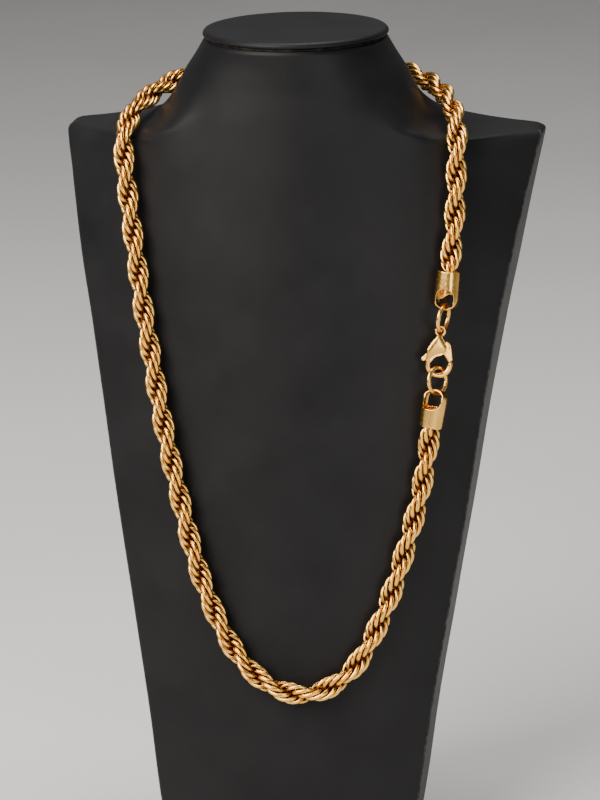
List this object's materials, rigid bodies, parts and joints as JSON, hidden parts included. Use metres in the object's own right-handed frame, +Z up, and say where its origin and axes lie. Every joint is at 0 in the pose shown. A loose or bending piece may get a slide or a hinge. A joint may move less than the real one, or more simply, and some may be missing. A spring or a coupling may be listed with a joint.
{
  "type": "rope chain necklace on neck bust",
  "caption": "Thick gold rope chain necklace joined by end caps, jump rings and a sprung lobster clasp, hanging as a whole loop on a padded black neck bust.",
  "frame": {"origin": "centre of the bounding box on the plane that the bust stands on", "axes": "+X across the shoulders, towards the side that carries the clasp; +Y from the chest to the back; +Z up"},
  "size_m": [0.134, 0.0819, 0.23],
  "materials": {
    "gold_plate": "polished warm gold plating",
    "black_leatherette": "matt, finely grained"
  },
  "bodies": {
    "necklace_on_bust": {"neck_bust": "black_leatherette", "neck_disc": "black_leatherette", "rope_chain": "gold_plate", "upper_end_cap": "gold_plate", "lower_end_cap": "gold_plate", "upper_jump_ring": "gold_plate", "lower_jump_ring": "gold_plate", "clasp_body": "gold_plate", "clasp_pin": "gold_plate"},
    "lever": {"clasp_lever": "gold_plate"}
  },
  "joints": [
    {"name": "lever_pivot", "type": "hinge", "parent": "necklace_on_bust", "child": "lever", "pos_m": [0.04333, -0.01784, 0.14675], "axis": [-0.3064, 0.9429, -0.1305], "range_deg": [0, 25], "stiffness_Nm_per_rad": 0.01, "springref_deg": -28.65}
  ]
}
